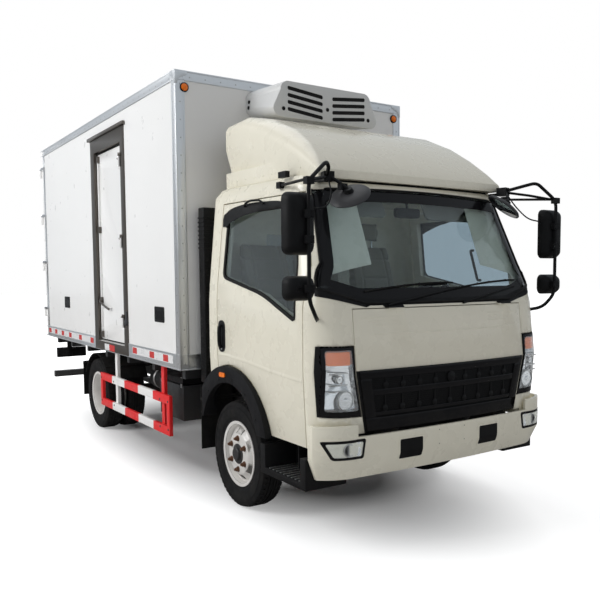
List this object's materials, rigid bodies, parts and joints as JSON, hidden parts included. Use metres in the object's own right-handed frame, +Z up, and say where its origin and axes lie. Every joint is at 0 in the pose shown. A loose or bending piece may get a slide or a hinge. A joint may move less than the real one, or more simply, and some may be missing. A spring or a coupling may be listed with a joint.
{
  "type": "refrigerated truck",
  "caption": "Light cab-over truck with tilting cab, insulated box body, cooling unit above the cab, side door and twin rear doors.",
  "frame": {"origin": "centre of the outline's footprint, on the ground", "axes": "+Z up, front of the truck at -Y, +X to the truck's left"},
  "size_m": [2.356, 5.993, 3.175],
  "materials": {
    "cab_paint": "gloss",
    "box_panel": "gloss",
    "trim_aluminium": "satin",
    "stainless": "brushed",
    "chassis_paint": "satin",
    "engine_metal": "rough",
    "exhaust_metal": "dull",
    "guard_paint": "satin",
    "black_plastic": "matte",
    "flare_plastic": "matte",
    "unit_case": "satin",
    "rear_lamp": "gloss",
    "lamp": "gloss",
    "window_glass": "clear",
    "dash_plastic": "matte",
    "seat_fabric": "woven",
    "wheel_paint": "satin",
    "tyre_rubber": "matte",
    "flap_rubber": "matte"
  },
  "bodies": {
    "chassis": {"chassis_frame": "chassis_paint", "front_axle": "chassis_paint", "rear_axle": "chassis_paint", "leaf_springs": "chassis_paint", "engine_block": "engine_metal", "fuel_tank": "trim_aluminium", "battery_and_air_tank": "chassis_paint", "exhaust": "exhaust_metal", "side_guards": "guard_paint", "mudguards_and_flaps": "flap_rubber", "rear_underrun_bar": "chassis_paint", "rear_lamps": "rear_lamp", "cab_steps": "black_plastic", "front_bumper": "cab_paint", "air_intake": "black_plastic", "box_subframe": "chassis_paint", "box_floor": "box_panel", "box_roof": "box_panel", "box_wall_left": "box_panel", "box_wall_right": "box_panel", "box_front_wall": "box_panel", "box_rear_portal": "stainless", "box_edge_rails": "trim_aluminium", "side_door_frame": "stainless", "cooling_unit": "unit_case"},
    "cab": {"cab_shell": "cab_paint", "cab_glass": "window_glass", "headlamps": "lamp", "dashboard": "dash_plastic", "seats": "seat_fabric", "seat_box": "dash_plastic", "roof_fairing": "cab_paint", "cab_fenders": "flare_plastic", "mirrors": "black_plastic", "wipers": "black_plastic"},
    "door_left": {"cab_door_left": "cab_paint", "door_glass_left": "window_glass"},
    "door_right": {"cab_door_right": "cab_paint", "door_glass_right": "window_glass"},
    "front_flap": {"front_flap": "cab_paint", "grille": "black_plastic"},
    "steering_wheel": {"steering_wheel": "dash_plastic"},
    "knuckle_left": {"knuckle_left": "chassis_paint"},
    "knuckle_right": {"knuckle_right": "chassis_paint"},
    "wheel_front_left": {"wheel_front_left": "wheel_paint", "tyre_front_left": "tyre_rubber"},
    "wheel_front_right": {"wheel_front_right": "wheel_paint", "tyre_front_right": "tyre_rubber"},
    "wheel_rear_left": {"wheels_rear_left": "wheel_paint", "tyres_rear_left": "tyre_rubber"},
    "wheel_rear_right": {"wheels_rear_right": "wheel_paint", "tyres_rear_right": "tyre_rubber"},
    "side_door": {"side_door": "box_panel"},
    "rear_door_left": {"rear_door_left": "box_panel"},
    "rear_door_right": {"rear_door_right": "box_panel"}
  },
  "joints": [
    {"name": "cab_tilt", "type": "hinge", "parent": "chassis", "child": "cab", "pos_m": [0, -2.87, 0.8], "axis": [1, 0, 0], "range_deg": [0, 45]},
    {"name": "door_left_swing", "type": "hinge", "parent": "cab", "child": "door_left", "pos_m": [0.972, -2.747, 1.3], "axis": [0, 0, -1], "range_deg": [0, 70]},
    {"name": "door_right_swing", "type": "hinge", "parent": "cab", "child": "door_right", "pos_m": [-0.972, -2.747, 1.3], "axis": [0, 0, 1], "range_deg": [0, 70]},
    {"name": "front_flap_lift", "type": "hinge", "parent": "cab", "child": "front_flap", "pos_m": [0, -2.94, 1.444], "axis": [-1, 0, 0], "range_deg": [0, 60]},
    {"name": "steering_wheel_turn", "type": "hinge", "parent": "cab", "child": "steering_wheel", "pos_m": [0.4, -2.29, 1.47], "axis": [0, 0.5736, 0.8192], "range_deg": [-560, 560]},
    {"name": "steer_left", "type": "hinge", "parent": "chassis", "child": "knuckle_left", "pos_m": [0.745, -1.8, 0.38], "axis": [0, 0, 1], "range_deg": [-35, 35]},
    {"name": "steer_right", "type": "hinge", "parent": "chassis", "child": "knuckle_right", "pos_m": [-0.745, -1.8, 0.38], "axis": [0, 0, 1], "range_deg": [-35, 35]},
    {"name": "wheel_front_left_spin", "type": "hinge", "parent": "knuckle_left", "child": "wheel_front_left", "pos_m": [0.8425, -1.8, 0.38], "axis": [1, 0, 0], "continuous": true},
    {"name": "wheel_front_right_spin", "type": "hinge", "parent": "knuckle_right", "child": "wheel_front_right", "pos_m": [-0.8425, -1.8, 0.38], "axis": [1, 0, 0], "continuous": true},
    {"name": "wheel_rear_left_spin", "type": "hinge", "parent": "chassis", "child": "wheel_rear_left", "pos_m": [0.735, 1.45, 0.38], "axis": [1, 0, 0], "continuous": true},
    {"name": "wheel_rear_right_spin", "type": "hinge", "parent": "chassis", "child": "wheel_rear_right", "pos_m": [-0.735, 1.45, 0.38], "axis": [1, 0, 0], "continuous": true},
    {"name": "side_door_swing", "type": "hinge", "parent": "chassis", "child": "side_door", "pos_m": [-1.102, 0.076, 1.9], "axis": [0, 0, 1], "range_deg": [0, 165]},
    {"name": "rear_door_left_swing", "type": "hinge", "parent": "chassis", "child": "rear_door_left", "pos_m": [1.102, 2.987, 2], "axis": [0, 0, -1], "range_deg": [0, 265]},
    {"name": "rear_door_right_swing", "type": "hinge", "parent": "chassis", "child": "rear_door_right", "pos_m": [-1.102, 2.987, 2], "axis": [0, 0, 1], "range_deg": [0, 265]}
  ],
  "couplings": [
    {"joint": "steer_right", "follows": "steer_left", "ratio": 1},
    {"joint": "steering_wheel_turn", "follows": "steer_left", "ratio": 16}
  ]
}
